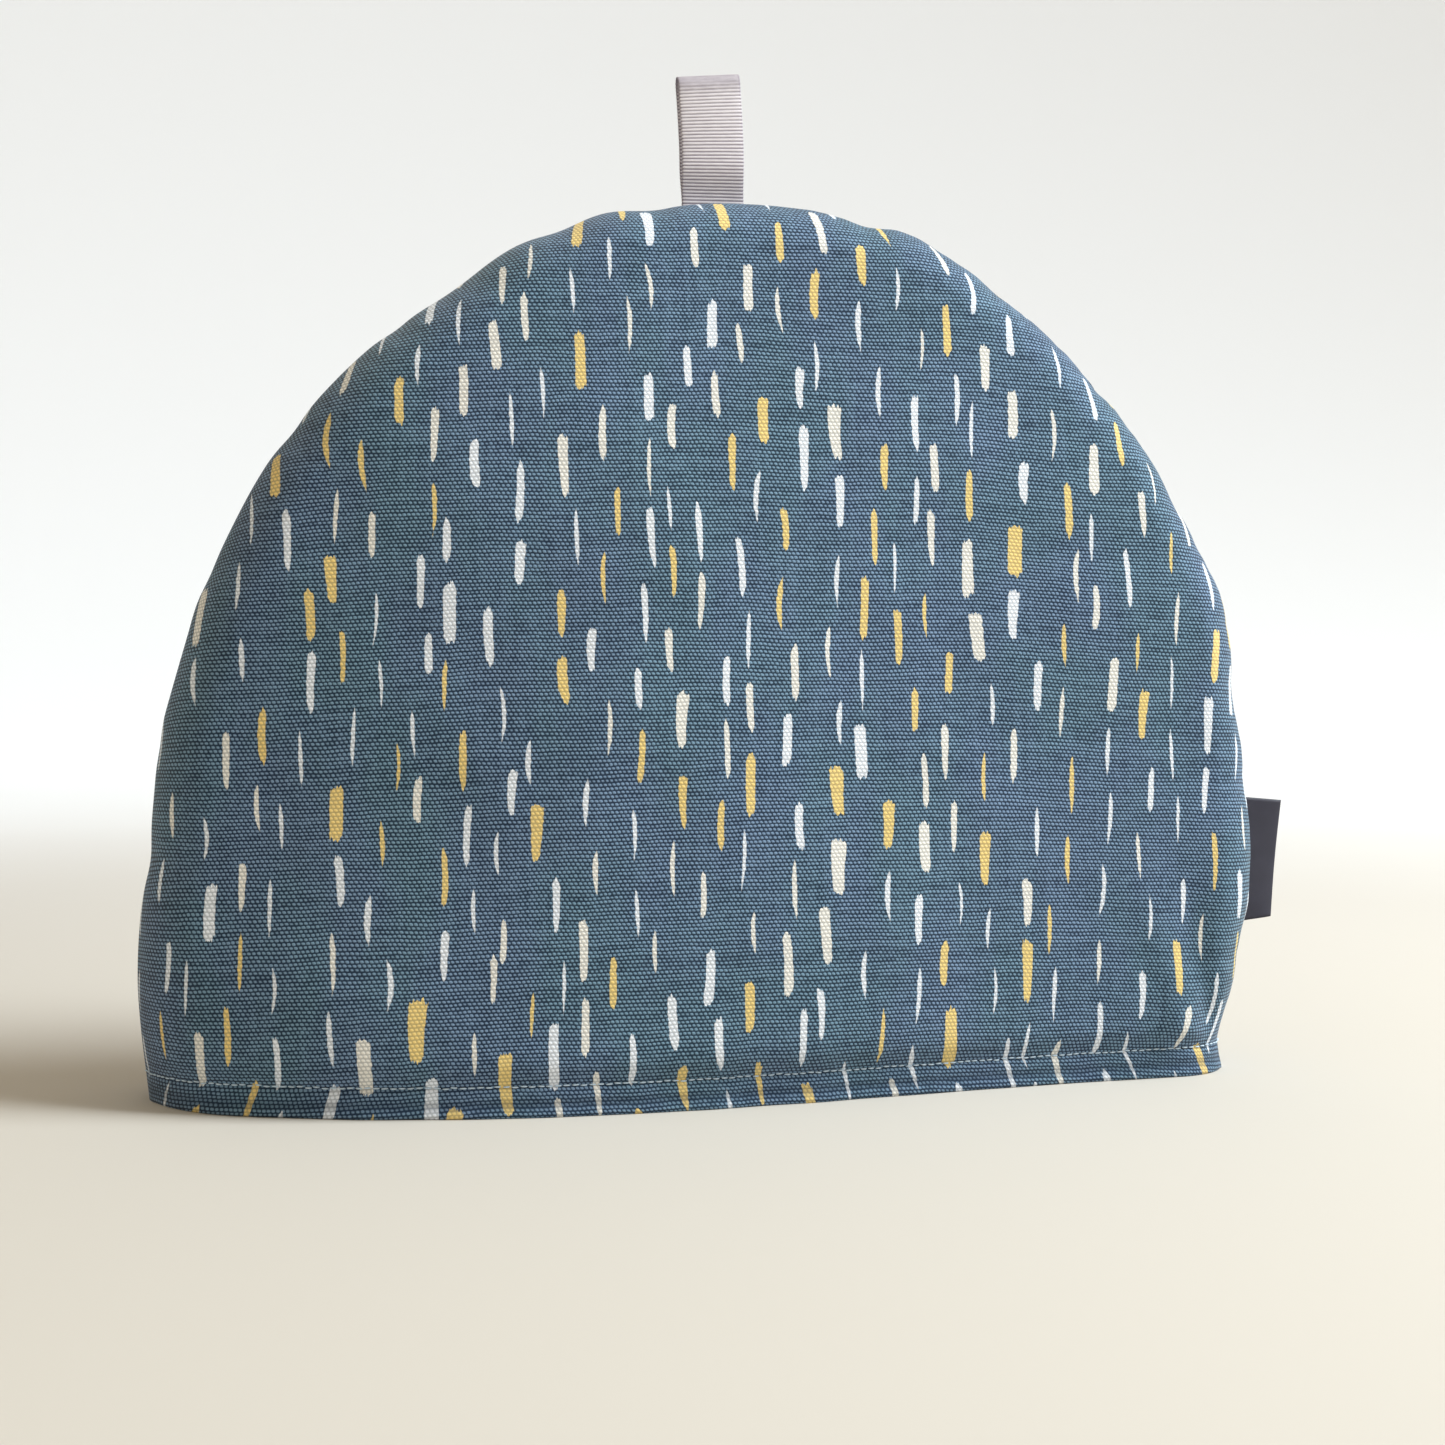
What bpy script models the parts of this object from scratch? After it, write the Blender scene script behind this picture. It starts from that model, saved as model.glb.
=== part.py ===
"""Tea cosy: two padded dome panels sewn together, with a ribbon loop in the crown and a tab in one side seam.

Metres, +Z up. The front faces -Y, the seam lies in the plane y = 0, the hem rests on z = 0,
and the origin is under the middle of the whole thing.
"""

import math

import bmesh
import bpy
import numpy as np

NAME = "tea_cosy"

# Clearances between pieces that are sewn together
SEAM_GAP = 0.0003
SLOT_GAP = 0.0003

# The seam's line in the plane y = 0, from the left end of the hem over the crown to the right end
OUTLINE_X_Z = (
    (-0.1720, 0.0000),
    (-0.1731, 0.0090),
    (-0.1754, 0.0340),
    (-0.1718, 0.0800),
    (-0.1665, 0.1180),
    (-0.1545, 0.1560),
    (-0.1360, 0.1930),
    (-0.1030, 0.2300),
    (-0.0570, 0.2615),
    (-0.0220, 0.2715),
    (0.0080, 0.2740),
    (0.0420, 0.2705),
    (0.0800, 0.2565),
    (0.1220, 0.2210),
    (0.1505, 0.1820),
    (0.1668, 0.1500),
    (0.1732, 0.1050),
    (0.1756, 0.0680),
    (0.1718, 0.0320),
    (0.1652, 0.0090),
    (0.1667, 0.0000),
)

# Where the seam's stitches draw the edge in: share of the seam's length, depth and half width
PUCKERS = (
    (0.145, 0.0011, 0.007),
    (0.215, 0.0013, 0.008),
    (0.285, 0.0009, 0.007),
    (0.345, 0.0008, 0.006),
    (0.425, 0.0010, 0.008),
    (0.560, 0.0013, 0.007),
    (0.625, 0.0009, 0.006),
    (0.685, 0.0010, 0.007),
    (0.745, 0.0014, 0.007),
    (0.805, 0.0010, 0.008),
)

# Depth of a panel: an edge that rolls over to the seam, and a bulge that leans to one side near the hem
HALF_DEPTH = 0.0560
EDGE_ROLL = 0.0140
HEM_ROLL = 0.0080
HEM_ROLL_FADE = 0.0700
BULGE_POWER = 3.0
SKEW_LEFT_UP = 0.40
SKEW_FADE = 0.1200
FRONT = {"side": -1.0, "bulge": 0.0250, "skew": 0.1450, "wave": 0.0010, "phase": 0.6}
BACK = {"side": 1.0, "bulge": 0.0270, "skew": -0.0500, "wave": 0.0012, "phase": 2.9}

# Uneven padding: two long waves, with their radians per metre along x and z, and how the phase shifts them
WAVES = (
    (31.0, 17.0, 1.0),
    (47.0, -39.0, 2.0),
)

# The hem: a stitched line that draws the padding in, and the padding that hangs over it
HEM_LINE = 0.0090
HEM_DRAW = 0.0024
HEM_DRAW_HALF_WIDTH = 0.0038
OVERHANG = 0.0030
OVERHANG_REACH = 0.0110
HEM_ROWS_Z = (0.0000, 0.0045, 0.0090, 0.0135, 0.0190)

# Padded wall
WALL = 0.0075
HEM_WALL = 0.0046
SEAM_WALL = 0.0085
SEAM_WALL_REACH = 0.0200

# Mesh of a panel: columns, rows above the hem, and where the outline turns from side to top
COLUMNS = 40
BODY_ROWS = 22
LEFT_SHOULDER_Z = 0.2120
RIGHT_SHOULDER_Z = 0.2140
EDGE_CROWDING = 0.70
TOP_CROWDING = 0.80

# Ribbon loop in the crown
RIBBON_WIDTH = 0.0195
RIBBON_THICK = 0.0010
RIBBON_X = 0.0008
RIBBON_LEAN = -0.0450
RIBBON_TAIL_Z = 0.2680
RIBBON_TOP_Z = 0.3140
RIBBON_STRAIGHT_Z = 0.2980
RIBBON_HALF_GAP = 0.0022
TAIL_HALF_GAP = 0.00015
RIBBON_OPENS_Z = (0.2745, 0.2860)

# Folded tab in the right side seam: its fold slants, so that it reaches further out at the top
TAB_HEIGHT = 0.0400
TAB_THICK = 0.0010
TAB_HALF_GAP = 0.0002
TAB_MIDDLE_Z = 0.0662
TAB_REACH = 0.0111
TAB_TAIL = 0.0050
TAB_SLANT = 0.1600
TAB_TAPER = 0.0600
FOLD_STEPS = 8
LEAF_STEPS = 6
SLOT_DEPTH = 0.0200

OUTLINE_SAMPLES = 1200
LEAST_HALF_WIDTH = 0.0001


def material(name, colour, roughness):
    """A Principled BSDF of one colour."""
    made = bpy.data.materials.new(name)
    made.use_nodes = True
    shader = made.node_tree.nodes["Principled BSDF"]
    shader.inputs["Base Color"].default_value = (*colour, 1.0)
    shader.inputs["Roughness"].default_value = roughness
    shader.inputs["Metallic"].default_value = 0.0
    return made


def lengths_along(points):
    """Distance of each point from the first, along the line."""
    steps = np.linalg.norm(np.diff(points, axis=0), axis=1)
    return np.concatenate([[0.0], np.cumsum(steps)])


def even_points(points, count):
    """The line again, with evenly spaced points."""
    along = lengths_along(points)
    places = np.linspace(0.0, along[-1], count)
    return np.stack([np.interp(places, along, points[:, axis]) for axis in range(2)], axis=1)


def smooth_line(points, count):
    """A cubic curve through the points, evenly spaced."""
    points = np.array(points)
    along = lengths_along(points)
    slopes = np.gradient(points, along, axis=0)
    places = np.linspace(0.0, along[-1], 4 * count)
    start = np.clip(np.searchsorted(along, places, side="right") - 1, 0, len(along) - 2)
    span = (along[start + 1] - along[start])[:, None]
    t = (places - along[start])[:, None] / span
    curve = (
        (1 + 2 * t) * (1 - t) ** 2 * points[start]
        + t * (1 - t) ** 2 * span * slopes[start]
        + t**2 * (3 - 2 * t) * points[start + 1]
        + t**2 * (t - 1) * span * slopes[start + 1]
    )
    return even_points(curve, count)


def drawn_in(line):
    """The outline with the dents that the seam's stitches make."""
    length = lengths_along(line)[-1]
    share = np.linspace(0.0, 1.0, len(line))
    tangent = np.gradient(line, axis=0)
    tangent /= np.linalg.norm(tangent, axis=1)[:, None]
    inward = np.stack([tangent[:, 1], -tangent[:, 0]], axis=1)
    depth = sum(
        deep * np.exp(-(((share - place) * length / half_width) ** 2))
        for place, deep, half_width in PUCKERS
    )
    return line + inward * depth[:, None]


def distance_to(line, x, z):
    """Shortest distance from each point to the line, in the seam plane."""
    places = np.stack([x, z], axis=-1)[..., None, :]
    start, step = line[:-1], np.diff(line, axis=0)
    along = ((places - start) * step).sum(-1) / (step**2).sum(-1)
    nearest = start + np.clip(along, 0.0, 1.0)[..., None] * step
    return np.linalg.norm(places - nearest, axis=-1).min(-1)


class Outline:
    """The seam's line, with its side edges by height."""

    def __init__(self):
        self.plain = smooth_line(OUTLINE_X_Z, OUTLINE_SAMPLES)
        self.line = drawn_in(self.plain)
        self.crown = int(self.plain[:, 1].argmax())

    def sides(self, z):
        """x of the left and the right edge at height z."""
        left, right = self.plain[: self.crown + 1], self.plain[self.crown :][::-1]
        return np.interp(z, left[:, 1], left[:, 0]), np.interp(z, right[:, 1], right[:, 0])

    def place(self, z, on_left):
        """Index along the line of the point at height z, on one side."""
        heights = self.line[:, 1]
        reached = np.flatnonzero(heights >= z)
        return reached[0] if on_left else reached[-1]

    def run(self, first, last, shares):
        """Points of the line between two indexes, at the given shares of that run."""
        places = first + (last - first) * shares
        index = np.arange(len(self.line))
        return np.stack([np.interp(places, index, self.line[:, axis]) for axis in range(2)], axis=1)


def crowded(count, share):
    """Shares from 0 to 1, closer together at both ends."""
    even = np.linspace(0.0, 1.0, count + 1)
    return (1 - share) * even + share * (0.5 - 0.5 * np.cos(np.pi * even))


def crowded_at_end(count, share):
    """Shares from 0 to 1, closer together at the end."""
    even = np.linspace(0.0, 1.0, count + 1)
    return (1 - share) * even + share * np.sin(0.5 * np.pi * even)


def plane_grid(outline):
    """Points of a panel in the seam plane: straight rows in the hem, then rows that bend up into the dome."""
    across = crowded(COLUMNS, EDGE_CROWDING)
    up = crowded_at_end(BODY_ROWS, TOP_CROWDING)
    first, last = (outline.place(HEM_ROWS_Z[-1], on_left) for on_left in (True, False))
    left_shoulder = outline.place(LEFT_SHOULDER_Z, True)
    right_shoulder = outline.place(RIGHT_SHOULDER_Z, False)
    left = outline.run(first, left_shoulder, up)
    right = outline.run(last, right_shoulder, up)
    top = outline.run(left_shoulder, right_shoulder, across)
    bottom = left[0] + (right[0] - left[0]) * across[:, None]
    a, b = across[:, None, None], up[None, :, None]
    body = (
        (1 - b) * bottom[:, None]
        + b * top[:, None]
        + (1 - a) * left[None]
        + a * right[None]
        - (1 - a) * (1 - b) * left[0]
        - a * (1 - b) * right[0]
        - (1 - a) * b * left[-1]
        - a * b * right[-1]
    )
    rows = []
    for z in HEM_ROWS_Z[:-1]:
        ends = [
            outline.run(0, first, np.array([z / HEM_ROWS_Z[-1]])),
            outline.run(len(outline.line) - 1, last, np.array([z / HEM_ROWS_Z[-1]])),
        ]
        row = ends[0] + (ends[1] - ends[0]) * across[:, None]
        row[:, 1] = z
        rows.append(row)
    return np.concatenate([np.stack(rows, axis=1), body], axis=1)


def panel_depth(outline, x, z, edge, form):
    """How far the panel's outer face stands from the seam plane, before it is brought to its full depth."""
    left, right = outline.sides(z)
    half = (right - left) / 2
    across = np.clip((x - left) * (right - x) / np.maximum(half, LEAST_HALF_WIDTH) ** 2, 0.0, 1.0)
    crown_z = outline.plain[outline.crown, 1]
    fall = np.clip(1 - (z / crown_z) ** BULGE_POWER, 0.0, 1.0)
    roll_radius = EDGE_ROLL + HEM_ROLL * np.exp(-z / HEM_ROLL_FADE)
    roll = np.sqrt(1 - (1 - np.clip(edge / roll_radius, 0.0, 1.0)) ** 2)
    skew = form["skew"] * (SKEW_LEFT_UP + (1 - SKEW_LEFT_UP) * np.exp(-z / SKEW_FADE))
    bulge = (form["bulge"] - skew * x) * across * fall
    above = np.clip(z - HEM_LINE, 0.0, None)
    overhang = OVERHANG * (1 - np.exp(-above / OVERHANG_REACH))
    drawn = HEM_DRAW * np.exp(-(((z - HEM_LINE) / HEM_DRAW_HALF_WIDTH) ** 2))
    phase = form["phase"]
    wave = sum(np.sin(along_x * x + along_z * z + turn * phase) for along_x, along_z, turn in WAVES)
    uneven = form["wave"] * wave * (1 - np.exp(-above / OVERHANG_REACH))
    return roll_radius * roll + bulge + roll * (overhang - drawn + uneven)


def wall_thickness(edge, z):
    """The padded wall: thin at the hem, and wider where the seam is turned in."""
    above = np.clip(z - HEM_LINE, 0.0, None)
    wall = HEM_WALL + (WALL - HEM_WALL) * (1 - np.exp(-above / OVERHANG_REACH))
    at_seam = np.clip(1 - edge / SEAM_WALL_REACH, 0.0, 1.0)
    return wall + (SEAM_WALL - wall) * at_seam


def link_new(name, bm, finish, collection):
    """An object of this mesh in the collection, shaded smooth, in one material."""
    mesh = bpy.data.meshes.new(name)
    bm.to_mesh(mesh)
    bm.free()
    mesh.shade_smooth()
    made = bpy.data.objects.new(name, mesh)
    if finish:
        mesh.materials.append(finish)
    collection.objects.link(made)
    return made


def panel(name, outline, form, finish, collection):
    """One padded panel: a grid bent to the outer face, and again a wall further in, closed round the rim."""
    plane = plane_grid(outline)
    x, z = plane[..., 0], plane[..., 1]
    edge = distance_to(outline.line, x, z)
    edge[0] = 0.0
    edge[-1] = 0.0
    edge[:, -1] = 0.0
    depth = panel_depth(outline, x, z, edge, form)
    depth *= HALF_DEPTH / depth.max()
    depth = np.maximum(depth, SEAM_GAP / 2)
    wall = wall_thickness(edge, z)
    columns, rows = x.shape[0] - 1, x.shape[1] - 1

    bm = bmesh.new()
    bmesh.ops.create_grid(bm, x_segments=columns, y_segments=rows, size=1.0)
    column, row = bm.verts.layers.int.new("column"), bm.verts.layers.int.new("row")
    for vert in bm.verts:
        i = round((vert.co.x + 1) / 2 * columns)
        j = round((vert.co.y + 1) / 2 * rows)
        vert[column], vert[row] = i, j
        vert.co = (x[i, j], form["side"] * depth[i, j], z[i, j])
    bmesh.ops.recalc_face_normals(bm, faces=bm.faces[:])
    outer = bm.verts[:]
    outer_faces = bm.faces[:]
    bm.normal_update()
    inward = {(vert[column], vert[row]): vert.normal.copy() for vert in outer}
    facing = sum(face.normal.y * face.calc_area() for face in outer_faces)
    turn = -1.0 if facing * form["side"] > 0 else 1.0
    bmesh.ops.extrude_face_region(bm, geom=outer_faces, use_keep_orig=True)
    kept = set(outer)
    for vert in bm.verts:
        if vert in kept:
            continue
        i, j = vert[column], vert[row]
        place = vert.co + inward[i, j] * float(turn * wall[i, j])
        at_seam = i in (0, columns) or j == rows
        least = SEAM_GAP / 2
        stands = least if at_seam else max(form["side"] * place.y, least)
        vert.co = (place.x, form["side"] * stands, 0.0 if j == 0 else max(place.z, 0.0))
    bmesh.ops.recalc_face_normals(bm, faces=bm.faces[:])
    if bm.calc_volume(signed=True) < 0:
        bmesh.ops.reverse_faces(bm, faces=bm.faces[:])
    return link_new(name, bm, finish, collection)


def strip(name, route, width, thick, finish, collection):
    """A ribbon of even thickness whose middle line runs along the route, given as (y, z) points."""
    bm = bmesh.new()
    bmesh.ops.create_grid(bm, x_segments=1, y_segments=len(route) - 1, size=1.0)
    for vert in bm.verts:
        y, z = route[round((vert.co.y + 1) / 2 * (len(route) - 1))]
        vert.co = (vert.co.x * width / 2, y, z)
    made = link_new(name, bm, finish, collection)
    solid = made.modifiers.new("thickness", "SOLIDIFY")
    solid.thickness = thick
    solid.offset = 0.0
    solid.use_even_offset = True
    return made


def eased(value, start, end):
    """0 below start and 1 above end, with a soft change between."""
    t = min(max((value - start) / (end - start), 0.0), 1.0)
    return t * t * (3 - 2 * t)


def loop_route():
    """The ribbon's middle line: up one leaf from its tail, round the fold, and down the other."""
    tail = TAIL_HALF_GAP + RIBBON_THICK / 2
    wide = RIBBON_HALF_GAP + RIBBON_THICK / 2
    fold_z = RIBBON_TOP_Z - RIBBON_THICK / 2 - wide
    heights = [RIBBON_TAIL_Z, *np.linspace(*RIBBON_OPENS_Z, LEAF_STEPS + 1), RIBBON_STRAIGHT_Z]
    leaf = [(-tail - (wide - tail) * eased(z, *RIBBON_OPENS_Z), z) for z in heights]
    angles = np.linspace(math.pi, 0.0, FOLD_STEPS + 1)
    fold = [(wide * math.cos(angle), fold_z + wide * math.sin(angle)) for angle in angles]
    return leaf + fold + [(-y, z) for y, z in reversed(leaf)]


def tab_route():
    """The tab's middle line, along its own height axis: out of the seam, round the fold, and back."""
    half = TAB_HALF_GAP + TAB_THICK / 2
    fold = TAB_REACH - half - TAB_THICK / 2
    angles = np.linspace(math.pi, 0.0, FOLD_STEPS + 1)
    turn = [(half * math.cos(angle), fold + half * math.sin(angle)) for angle in angles]
    return [(-half, -TAB_TAIL), (-half, 0.0)] + turn + [(half, 0.0), (half, -TAB_TAIL)]


def slot(name, width, half_depth, length, collection):
    """A box that cuts room for sewn-in tails: its own origin is under it, and it reaches up by its length."""
    bm = bmesh.new()
    bmesh.ops.create_cube(bm, size=1.0)
    for vert in bm.verts:
        vert.co = (vert.co.x * width, vert.co.y * 2 * half_depth, (vert.co.z + 0.5) * length)
    made = link_new(name, bm, None, collection)
    made.hide_render = True
    made.display_type = "WIRE"
    return made


def cut(piece, cutter):
    """Takes the cutter out of the piece."""
    step = piece.modifiers.new(cutter.name, "BOOLEAN")
    step.operation = "DIFFERENCE"
    step.object = cutter


def main():
    for obj in list(bpy.data.objects):
        bpy.data.objects.remove(obj)
    parts = bpy.data.collections.new(NAME)
    cutters = bpy.data.collections.new(NAME + "_cutters")
    for collection in (parts, cutters):
        bpy.context.scene.collection.children.link(collection)
    cloth = material("printed_cloth", (0.095, 0.150, 0.210), 0.90)
    grosgrain = material("grosgrain", (0.440, 0.385, 0.400), 0.75)
    woven_tab = material("woven_tab", (0.040, 0.036, 0.045), 0.60)

    outline = Outline()
    front = panel("front_panel", outline, FRONT, cloth, parts)
    back = panel("back_panel", outline, BACK, cloth, parts)

    ribbon = strip("ribbon_loop", loop_route(), RIBBON_WIDTH, RIBBON_THICK, grosgrain, parts)
    for vert in ribbon.data.vertices:
        vert.co.x += RIBBON_LEAN * max(vert.co.z - RIBBON_OPENS_Z[0], 0.0)
    ribbon.location.x = RIBBON_X

    seam_x = float(outline.sides(TAB_MIDDLE_Z)[1])
    tab = strip("side_label", tab_route(), TAB_HEIGHT, TAB_THICK, woven_tab, parts)
    for vert in tab.data.vertices:
        reach = max(vert.co.z, 0.0)
        vert.co.z -= TAB_SLANT * reach * vert.co.x / (TAB_HEIGHT / 2)
        vert.co.x *= 1 - TAB_TAPER * reach / TAB_REACH
    tab.location = (seam_x, 0.0, TAB_MIDDLE_Z)
    tab.rotation_euler.y = math.pi / 2

    ribbon_slot = slot(
        "ribbon_slot",
        RIBBON_WIDTH + 2 * SLOT_GAP,
        TAIL_HALF_GAP + RIBBON_THICK + SLOT_GAP,
        SLOT_DEPTH,
        cutters,
    )
    ribbon_slot.location = (RIBBON_X, 0.0, RIBBON_TAIL_Z - SLOT_GAP)
    tab_slot = slot(
        "tab_slot",
        TAB_HEIGHT + 2 * SLOT_GAP,
        TAB_HALF_GAP + TAB_THICK + SLOT_GAP,
        SLOT_DEPTH,
        cutters,
    )
    tab_slot.location = (seam_x - TAB_TAIL - SLOT_GAP, 0.0, TAB_MIDDLE_Z)
    tab_slot.rotation_euler.y = tab.rotation_euler.y
    for piece in (front, back):
        cut(piece, ribbon_slot)
        cut(piece, tab_slot)

    whole = bpy.data.objects.new(NAME, None)
    parts.objects.link(whole)
    reach = (TAB_REACH - TAB_THICK / 2) * (1 + TAB_SLANT) + TAB_THICK / 2
    whole.location.x = -(seam_x + reach + outline.plain[:, 0].min()) / 2
    for piece in (front, back, ribbon, tab, ribbon_slot, tab_slot):
        piece.parent = whole


main()
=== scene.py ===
"""The looks of a padded tea cosy: printed cloth panels, stitched hem, ribbon loop and side tab."""

import math

import bmesh
import bpy
import numpy as np
from bpy.props import FloatProperty, FloatVectorProperty, IntProperty, PointerProperty
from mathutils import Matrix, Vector, noise


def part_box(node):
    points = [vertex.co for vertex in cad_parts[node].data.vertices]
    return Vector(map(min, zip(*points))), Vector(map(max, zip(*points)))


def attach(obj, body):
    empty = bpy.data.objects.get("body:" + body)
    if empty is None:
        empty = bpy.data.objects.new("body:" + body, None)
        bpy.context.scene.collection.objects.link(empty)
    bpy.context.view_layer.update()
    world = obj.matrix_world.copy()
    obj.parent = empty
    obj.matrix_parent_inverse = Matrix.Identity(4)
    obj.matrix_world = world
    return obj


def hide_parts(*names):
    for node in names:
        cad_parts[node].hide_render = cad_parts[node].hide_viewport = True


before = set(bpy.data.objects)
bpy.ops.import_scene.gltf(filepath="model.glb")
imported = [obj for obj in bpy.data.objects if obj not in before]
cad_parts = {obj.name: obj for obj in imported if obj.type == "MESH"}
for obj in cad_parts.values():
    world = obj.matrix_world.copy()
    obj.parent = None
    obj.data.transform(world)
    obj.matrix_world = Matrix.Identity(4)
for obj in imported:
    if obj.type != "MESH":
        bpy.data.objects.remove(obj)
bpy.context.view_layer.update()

bl_info = {
    "name": "Tea cosy",
    "version": (1, 0, 0),
    "blender": (4, 5, 0),
    "location": "View3D > Sidebar > Tea cosy",
    "description": "Makes a padded tea cosy with a stitched hem, a ribbon loop and a side tab",
    "category": "Add Mesh",
}

CLOTH_UV = "cloth"
RIBBON_UV = "ribbon"
TAB_UV = "tab"

# The seam's line from the left end of the hem over the crown to the right end, as in the source
OUTLINE_X_Z = (
    (-0.1720, 0.0000), (-0.1731, 0.0090), (-0.1754, 0.0340), (-0.1718, 0.0800), (-0.1665, 0.1180),
    (-0.1545, 0.1560), (-0.1360, 0.1930), (-0.1030, 0.2300), (-0.0570, 0.2615), (-0.0220, 0.2715),
    (0.0080, 0.2740), (0.0420, 0.2705), (0.0800, 0.2565), (0.1220, 0.2210), (0.1505, 0.1820),
    (0.1668, 0.1500), (0.1732, 0.1050), (0.1756, 0.0680), (0.1718, 0.0320), (0.1652, 0.0090),
    (0.1667, 0.0000),
)

# Where the seam's stitches draw the edge in: share of the seam's length, depth and half width
PUCKERS = (
    (0.145, 0.0011, 0.007), (0.215, 0.0013, 0.008), (0.285, 0.0009, 0.007), (0.345, 0.0008, 0.006),
    (0.425, 0.0010, 0.008), (0.560, 0.0013, 0.007), (0.625, 0.0009, 0.006), (0.685, 0.0010, 0.007),
    (0.745, 0.0014, 0.007), (0.805, 0.0010, 0.008),
)

# Where the sewn edge of the cloth strays from that line, in the same three values
STRAYS = (
    (0.098, 0.0011, 0.008), (0.146, -0.0012, 0.010), (0.212, -0.0015, 0.011), (0.374, 0.0024, 0.017),
    (0.447, -0.0009, 0.008), (0.468, 0.0009, 0.008), (0.579, -0.0014, 0.009), (0.632, 0.0013, 0.024),
    (0.771, 0.0013, 0.011), (0.834, 0.0023, 0.014), (0.874, 0.0010, 0.008), (0.948, 0.0019, 0.011),
)

# Depth of a panel, as in the source
HALF_DEPTH = 0.0560
EDGE_ROLL = 0.0140
HEM_ROLL = 0.0080
HEM_ROLL_FADE = 0.0700
BULGE_POWER = 3.0
SKEW_LEFT_UP = 0.40
SKEW_FADE = 0.1200
WAVES = ((31.0, 17.0, 1.0), (47.0, -39.0, 2.0))
FRONT = {"side": -1.0, "bulge": 0.0250, "skew": 0.1450, "wave": 0.0010, "phase": 0.6}
BACK = {"side": 1.0, "bulge": 0.0270, "skew": -0.0500, "wave": 0.0012, "phase": 2.9}
HEM_LINE = 0.0090
HEM_CREASE = 0.0036
HEM_DRAW = 0.0024
HEM_DRAW_HALF_WIDTH = 0.0038
HEM_DRAW_BELOW = 0.0110
OVERHANG = 0.0030
OVERHANG_REACH = 0.0110
WALL = 0.0075
HEM_WALL = 0.0046
SEAM_WALL = 0.0085
SEAM_WALL_REACH = 0.0200

# Rows of the hem, close together round its folded edge and its stitched line
HEM_ROWS_Z = (
    0.0, 0.00012, 0.0004, 0.0009, 0.0016, 0.0025, 0.0036, 0.0048, 0.0060, 0.0070, 0.0078, 0.0084,
    0.0087, 0.0090, 0.0093, 0.0096, 0.0102, 0.0110, 0.0120, 0.0132, 0.0146, 0.0160, 0.0175, 0.0190,
)
LEFT_SHOULDER_Z = 0.2120
RIGHT_SHOULDER_Z = 0.2140
OUTLINE_SAMPLES = 1200
LEAST_HALF_WIDTH = 0.0001

# Folds that run up into the cloth: start x and z, direction, length, half width and height
FRONT_FOLDS = (
    (0.1580, 0.0090, 101.0, 0.070, 0.0055, -0.0064), (0.1460, 0.0100, 104.0, 0.064, 0.0055, 0.0026),
    (0.1480, 0.0120, 118.0, 0.055, 0.0055, -0.0011), (0.1180, 0.0110, 104.0, 0.035, 0.0060, -0.0006),
    (-0.1690, 0.0130, 74.0, 0.060, 0.0065, -0.0014), (-0.1500, 0.0120, 62.0, 0.045, 0.0060, -0.0008),
    (-0.0900, 0.0110, 82.0, 0.040, 0.0090, -0.0006),
)
BACK_FOLDS = (
    (0.1660, 0.0110, 108.0, 0.060, 0.0060, -0.0013), (0.1400, 0.0120, 122.0, 0.050, 0.0060, -0.0009),
    (-0.1680, 0.0120, 70.0, 0.065, 0.0060, -0.0015), (-0.1440, 0.0120, 60.0, 0.050, 0.0060, -0.0010),
    (0.0400, 0.0110, 86.0, 0.045, 0.0100, -0.0006),
)

# The gap between the panels, and where it opens for the ribbon and for the tab
SEAM_HALF_GAP = 0.00012
RIBBON_PARTS = 0.00056
RIBBON_SLOT_X = (0.0098, 0.0125)
RIBBON_SLOT_Z = (0.2550, 0.2620)
TAB_PARTS = 0.00048
TAB_SLOT_X = (0.1500, 0.1600)
TAB_SLOT_Z = (0.0201, 0.0235)

# Dents of the hem, each a depth and a half width, its rounded foot, and how high its cloth is turned in
THREAD_LINE = (0.00045, 0.00070)
HEM_CREASE_DENT = (0.0010, 0.0013)
HEM_FOOT_DEPTH = 0.0011
HEM_ROUNDING = 0.0012
HEM_ROUNDING_HEIGHT = 0.0016
HEM_TURNED_TO = 0.0178

# The stitches: distance from the hem's ends, how far they stand out, and how far their ends dip in
STITCHES_START = 0.0060
STITCH_STANDS_OUT = 0.00036
STITCH_DIP = 0.00022

# The back is cut from another stretch of the cloth
BACK_CUT_FROM = (0.611, 0.233)

# The dashes: how far their columns wander and over what distance, then sizes and shares of the sorts
DASH_WANDER = 0.0150
DASH_WANDER_OVER = (0.060, 0.080)
DASH_SIDEWAYS = 0.0088
DASH_UPWARD = 0.0188
DASH_HALF_LENGTH = 0.0063
DASH_EXTRA_LENGTH = 0.0028
DASH_HALF_WIDTH = 0.00066
DASH_LEAN = 0.12
WIDE_BELOW = 0.21
THIN_ABOVE = 0.53
STONE_ABOVE = 0.50
MUSTARD_ABOVE = 0.74

# The ribbon's line, as in the source, with a thinner band
RIBBON_X = 0.0008
RIBBON_TAIL_Z = 0.2694
RIBBON_TOP_Z = 0.3140
RIBBON_STRAIGHT_Z = 0.2980
RIBBON_OPENS_Z = (0.2745, 0.2860)
RIBBON_LEAN = math.radians(2.58)
RIBBON_TILT = 0.075
RIBBON_FOLD_AT = 0.0461
RIBBON_HALF_OPENING = 0.0027
RIBBON_COLUMNS = 12
ROWS_PER_RIB = 7

# The tab's line, as in the source, with a thinner band
TAB_HEIGHT = 0.0400
TAB_MIDDLE_Z = 0.0662
TAB_REACH = 0.0111
TAB_TAIL = 0.0040
TAB_SLANT = 0.1600
TAB_TAPER = 0.0600
TAB_CURL = 0.0011
TAB_COLUMNS = 40

# The floor's round part and the cove that curves up from it
FLOOR_RADIUS = 1.2
COVE_RADIUS = 3.0
COVE_TURN = math.radians(82.8)
COVE_STEPS = 24

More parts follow.
